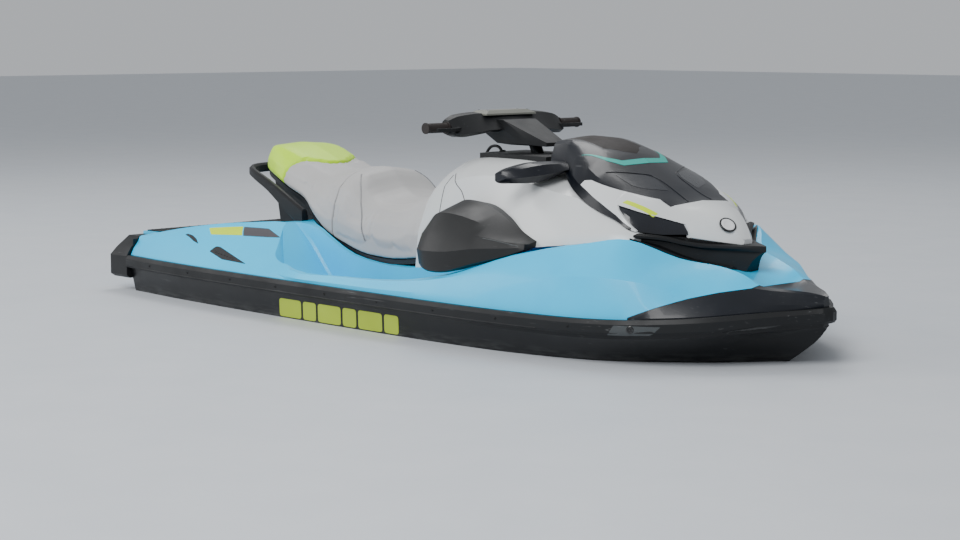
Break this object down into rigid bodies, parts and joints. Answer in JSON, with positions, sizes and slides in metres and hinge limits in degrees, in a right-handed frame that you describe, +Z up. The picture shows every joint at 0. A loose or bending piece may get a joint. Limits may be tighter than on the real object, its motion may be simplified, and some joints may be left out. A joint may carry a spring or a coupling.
{
  "type": "personal watercraft",
  "caption": "Sit-down jet-drive watercraft with stepped seat, handlebar, lifting hood, glovebox, steerable jet nozzle, reverse gate and folding boarding step.",
  "frame": {"origin": "on the centreline at the waterline, midway between the bow tip and the stern", "axes": "+X towards the bow, +Y to port, +Z up"},
  "size_m": [3.314, 1.2546, 1.1313],
  "materials": {
    "hull_black": "satin moulded hull, near black",
    "deck_blue": "bright sky blue gloss gel-coat",
    "cover_black": "gloss blue-black moulding",
    "bumper": "matt extruded bumper, dark grey",
    "mat": "ribbed foam traction mat, black",
    "panel_grey": "light warm grey moulded panel",
    "trim_black": "grained black moulding",
    "cap_brown": "dark brown-black panel with a teal edge",
    "mirror_glass": "silvered glass",
    "display": "dark display glass",
    "bar_pad": "silver-beige padded cover",
    "bar_metal": "black painted tube",
    "grip": "ribbed rubber grip",
    "seat_vinyl": "light grey marine vinyl",
    "seat_lime": "lime marine vinyl",
    "seat_tray": "black moulded seat base",
    "engine": null,
    "steel": "stainless steel",
    "pump_alloy": "cast aluminium, grey",
    "ride_alloy": "black coated aluminium",
    "nozzle_black": "glass-filled black plastic"
  },
  "bodies": {
    "craft": {"hull": "hull_black", "deck": "deck_blue", "bow_cover": "cover_black", "bumper_rail": "bumper", "stern_bumper_port": "bumper", "stern_bumper_starboard": "bumper", "footwell_mats": "mat", "platform_mat": "mat", "console": "panel_grey", "steering_base": "trim_black", "knee_fairing_port": "trim_black", "knee_fairing_starboard": "trim_black", "nose_grille": "trim_black", "seat_pylon": "trim_black", "grab_rail": "trim_black", "engine_block": "engine", "pump_housing": "pump_alloy", "intake_grate": "ride_alloy", "ride_plate": "ride_alloy", "step_bracket": "bar_metal", "sponsons": "trim_black", "bow_eye": "steel", "tow_eye": "steel"},
    "glovebox": {"glovebox_lid": "panel_grey"},
    "hood": {"hood_shroud": "cover_black", "hood_nose": "panel_grey", "hood_cap": "cap_brown", "hood_insets": "trim_black", "mirror_housing_port": "cover_black", "mirror_housing_starboard": "cover_black", "mirror_glasses": "mirror_glass", "gauge_display": "display"},
    "handlebar": {"steering_column": "steel", "handlebar_cover": "trim_black", "handlebar_pad": "bar_pad", "handlebar_tube": "bar_metal", "grips": "grip", "throttle_lever": "trim_black", "brake_lever": "trim_black"},
    "seat": {"seat_base": "seat_tray", "seat_front_cushion": "seat_vinyl", "seat_rear_cushion": "seat_vinyl", "seat_rear_trim": "seat_lime"},
    "impeller_shaft": {"drive_shaft": "steel", "impeller": "steel"},
    "nozzle": {"steering_nozzle": "nozzle_black"},
    "gate": {"reverse_gate": "nozzle_black"},
    "step": {"boarding_step": "bar_metal"}
  },
  "joints": [
    {"name": "steering", "type": "hinge", "parent": "craft", "child": "handlebar", "pos_m": [0.33, 0, 0.64], "axis": [-0.4695, 0, 0.8829], "range_deg": [-24, 24]},
    {"name": "nozzle_turn", "type": "hinge", "parent": "craft", "child": "nozzle", "pos_m": [-1.505, 0, -0.18], "axis": [0, 0, 1], "range_deg": [-19.2, 19.2]},
    {"name": "impeller_spin", "type": "hinge", "parent": "craft", "child": "impeller_shaft", "pos_m": [-1.3, 0, -0.18], "axis": [1, 0, 0], "continuous": true},
    {"name": "reverse_gate", "type": "hinge", "parent": "craft", "child": "gate", "pos_m": [-1.47, 0, -0.18], "axis": [0, -1, 0], "range_deg": [0, 52]},
    {"name": "hood", "type": "hinge", "parent": "craft", "child": "hood", "pos_m": [1.318, 0, 0.372], "axis": [0, 1, 0], "range_deg": [0, 50]},
    {"name": "glovebox_lid", "type": "hinge", "parent": "craft", "child": "glovebox", "pos_m": [0.086, 0, 0.612], "axis": [0, 1, 0], "range_deg": [0, 58]},
    {"name": "seat_lift", "type": "slide", "parent": "craft", "child": "seat", "axis": [0, 0, 1], "range_m": [0, 0.56]},
    {"name": "boarding_step", "type": "hinge", "parent": "craft", "child": "step", "pos_m": [-1.634, 0, -0.04], "axis": [0, -1, 0], "range_deg": [0, 165]}
  ],
  "couplings": [
    {"joint": "nozzle_turn", "follows": "steering", "ratio": -0.8}
  ]
}
